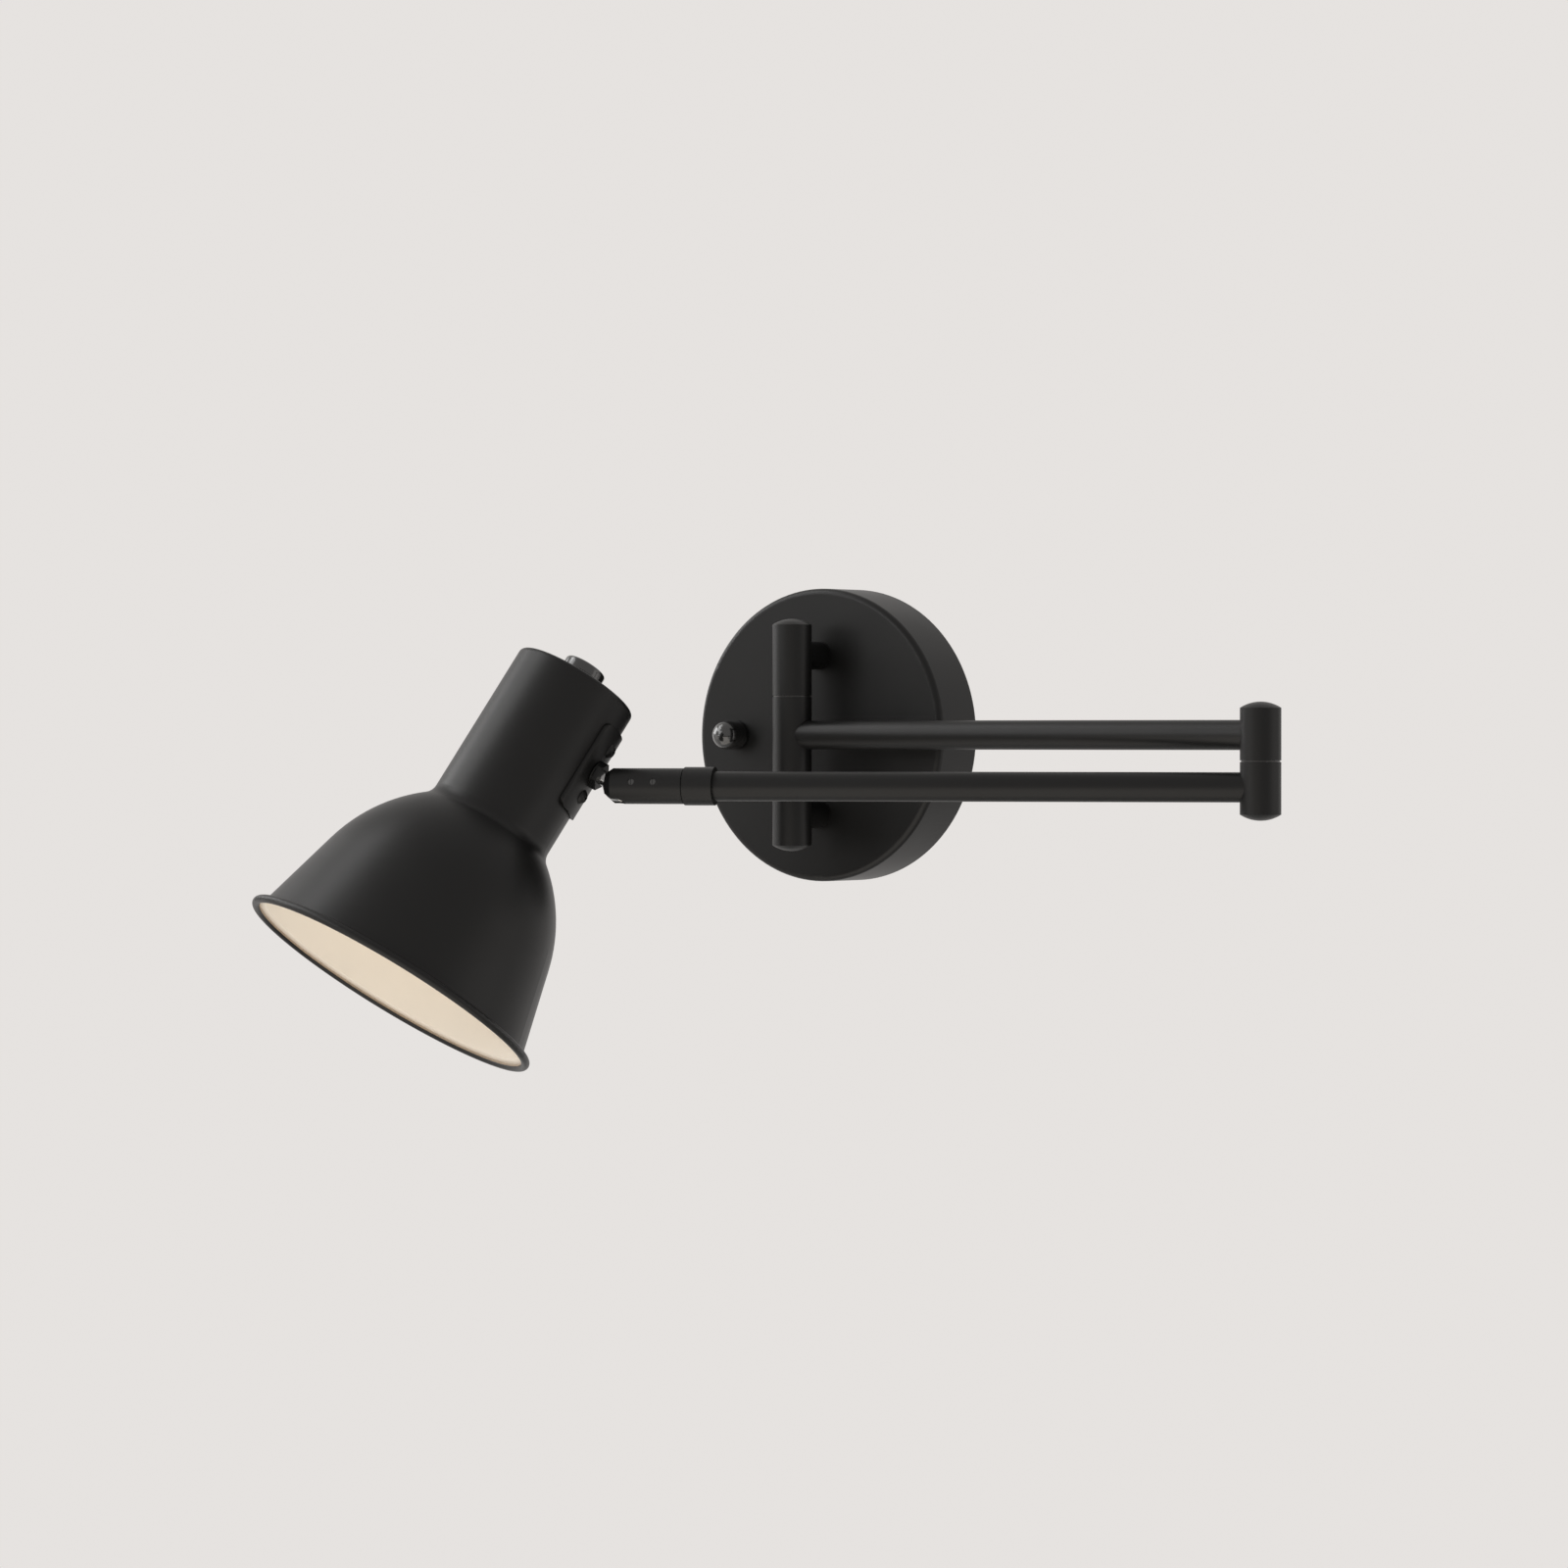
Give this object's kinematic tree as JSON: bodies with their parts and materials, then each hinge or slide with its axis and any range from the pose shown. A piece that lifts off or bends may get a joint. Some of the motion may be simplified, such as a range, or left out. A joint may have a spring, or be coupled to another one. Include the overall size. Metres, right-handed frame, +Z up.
{
  "type": "articulating wall lamp",
  "caption": "Black wall lamp on a round canopy: three-barrel knuckle, two folding arms, slotted ball swivel and a spun bell shade with a switch on its neck.",
  "frame": {"origin": "centre of the canopy's back, on the wall", "axes": "+Z up, +X along the wall to the right seen from the room, the lamp stands out from the wall towards -Y"},
  "size_m": [0.3738, 0.256, 0.1937],
  "materials": {
    "black_paint": "matte powder coat",
    "gloss_black": "glossy black",
    "knob_plastic": "glossy",
    "zinc_steel": "zinc plated",
    "brass": "bare",
    "bare_ball": "polished",
    "thread_aluminium": "rolled",
    "white_ceramic": null,
    "black_bakelite": "moulded",
    "white_nylon": "moulded"
  },
  "bodies": {
    "base": {"canopy": "black_paint", "mounting_bar": "zinc_steel", "cap_studs": "zinc_steel", "stud_nuts": "zinc_steel", "cap_nuts": "gloss_black", "terminal_block": "white_nylon", "terminal_screws": "zinc_steel", "earth_screw": "brass", "post_spacers": "black_paint", "post_nipples": "zinc_steel", "post_washers": "zinc_steel", "post_nuts": "zinc_steel", "knuckle_upper": "black_paint", "knuckle_lower": "black_paint", "knuckle_cap_upper": "black_paint", "knuckle_cap_lower": "black_paint", "knuckle_pivot": "zinc_steel", "pivot_nuts": "zinc_steel", "knuckle_washers": "black_bakelite"},
    "arm_1": {"knuckle_middle": "black_paint", "arm_1_tube": "black_paint", "elbow_upper": "black_paint", "elbow_cap_upper": "black_paint", "elbow_rivet": "zinc_steel", "elbow_snap_ring": "zinc_steel", "elbow_washer": "black_bakelite"},
    "arm_2": {"elbow_lower": "black_paint", "elbow_cap_lower": "black_paint", "arm_2_tube": "black_paint", "arm_2_collar": "black_paint"},
    "swivel": {"swivel_sleeve": "black_paint", "sleeve_grub_screws": "gloss_black", "seat_cup": "white_nylon", "disc_springs": "zinc_steel"},
    "stud": {"ball_stud": "bare_ball", "stem_nut": "black_paint", "stem_washer": "black_paint", "stem_inner_nut": "zinc_steel"},
    "head": {"shade": "black_paint", "bracket_plate": "black_paint", "plate_screws": "black_paint", "backing_plate": "zinc_steel", "switch_housing": "black_bakelite", "ring_nut": "gloss_black", "switch_leaves": "brass", "lampholder": "black_bakelite", "thread_shell": "thread_aluminium", "contact_insert": "white_ceramic", "centre_contact": "brass"},
    "knob": {"switch_knob": "knob_plastic", "switch_shaft": "black_bakelite"}
  },
  "joints": [
    {"name": "base_swing", "type": "hinge", "parent": "base", "child": "arm_1", "pos_m": [0, -0.045, 0], "axis": [0, 0, -1], "range_deg": [0, 180]},
    {"name": "elbow_fold", "type": "hinge", "parent": "arm_1", "child": "arm_2", "pos_m": [0.22, -0.045, -0.0101], "axis": [0, 0, 1], "range_deg": [-16.4, 313.6]},
    {"name": "swivel_roll", "type": "hinge", "parent": "arm_2", "child": "swivel", "pos_m": [-0.01882, -0.13859, -0.0202], "axis": [-0.9311, -0.3649, 0], "range_deg": [-75, 90]},
    {"name": "head_tilt", "type": "hinge", "parent": "swivel", "child": "stud", "pos_m": [-0.01882, -0.13859, -0.0202], "axis": [0.3528, -0.9002, 0.2554], "range_deg": [-4.6, 96.4]},
    {"name": "head_spin", "type": "hinge", "parent": "stud", "child": "head", "pos_m": [-0.01882, -0.13859, -0.0202], "axis": [0.8754, 0.2211, -0.4299], "range_deg": [-90, 75]},
    {"name": "switch_turn", "type": "hinge", "parent": "head", "child": "knob", "pos_m": [-0.04333, -0.13297, 0.02117], "axis": [0.2918, 0.4673, 0.8345], "continuous": true}
  ]
}
